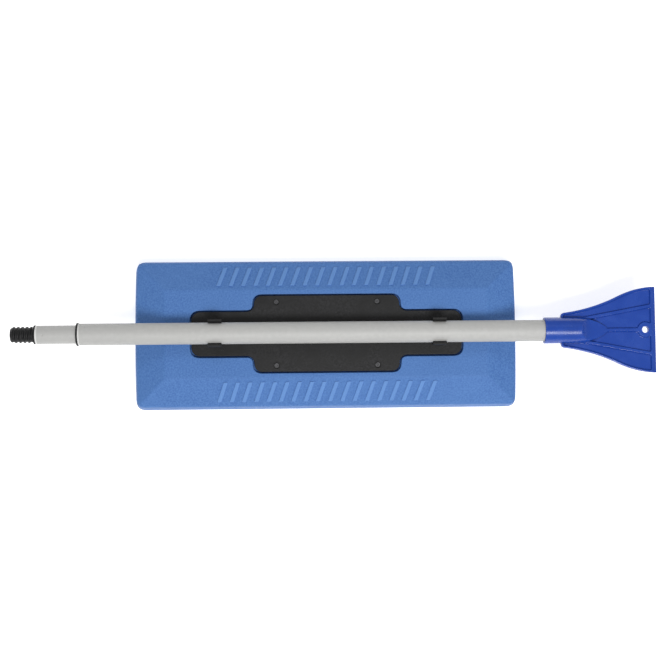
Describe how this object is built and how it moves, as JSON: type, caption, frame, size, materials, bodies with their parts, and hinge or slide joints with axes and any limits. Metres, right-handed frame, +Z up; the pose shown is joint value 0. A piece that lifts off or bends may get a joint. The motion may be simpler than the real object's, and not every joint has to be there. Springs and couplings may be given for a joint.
{
  "type": "telescoping snow broom",
  "caption": "Snow broom packed flat: rectangular foam head with a black clip plate, a telescoping pole snapped along its back and a ribbed ice scraper on the pole's end.",
  "frame": {"origin": "middle of the foam head's flat working face, which lies on the ground", "axes": "+X along the pole towards the scraper, +Y across the head, +Z up, away from the working face"},
  "size_m": [0.7557, 0.1778, 0.0695],
  "materials": {
    "foam": "blue closed-cell foam with a fine moulded skin",
    "core_plastic": "natural polypropylene, inside the foam",
    "black_plastic": "black moulded polypropylene with a fine grain",
    "screw_steel": "black phosphated steel",
    "grey_paint": "light grey powder coat on steel tube",
    "lock_plastic": "natural acetal, inside the pole",
    "blue_plastic": "blue moulded polypropylene, satin gloss"
  },
  "bodies": {
    "head": {"foam_head": "foam", "core_plate": "core_plastic", "back_plate": "black_plastic", "plate_screws": "screw_steel"},
    "outer_pole": {"outer_tube": "grey_paint", "collar_bush": "black_plastic", "scraper": "blue_plastic", "scraper_screw": "screw_steel"},
    "lock": {"lock_sleeve": "lock_plastic"},
    "inner_pole": {"inner_tube": "grey_paint", "threaded_tip": "black_plastic", "lock_plug": "lock_plastic", "lock_screw": "screw_steel", "lock_ring": "screw_steel"},
    "cone": {"lock_cone": "lock_plastic"}
  },
  "joints": [
    {"name": "pole_lift", "type": "slide", "parent": "head", "child": "outer_pole", "axis": [0, 0, 1], "range_m": [0, 0.1]},
    {"name": "telescope", "type": "slide", "parent": "outer_pole", "child": "lock", "axis": [-1, 0, 0], "range_m": [0, 0.43]},
    {"name": "twist_lock", "type": "hinge", "parent": "lock", "child": "inner_pole", "pos_m": [0.2, 0, 0.054], "axis": [1, 0, 0], "range_deg": [0, 360]},
    {"name": "cone_draw", "type": "slide", "parent": "lock", "child": "cone", "axis": [-1, 0, 0], "range_m": [0, 0.00151]}
  ],
  "couplings": [
    {"joint": "cone_draw", "follows": "twist_lock", "m_per_rad": 0.00023873}
  ]
}
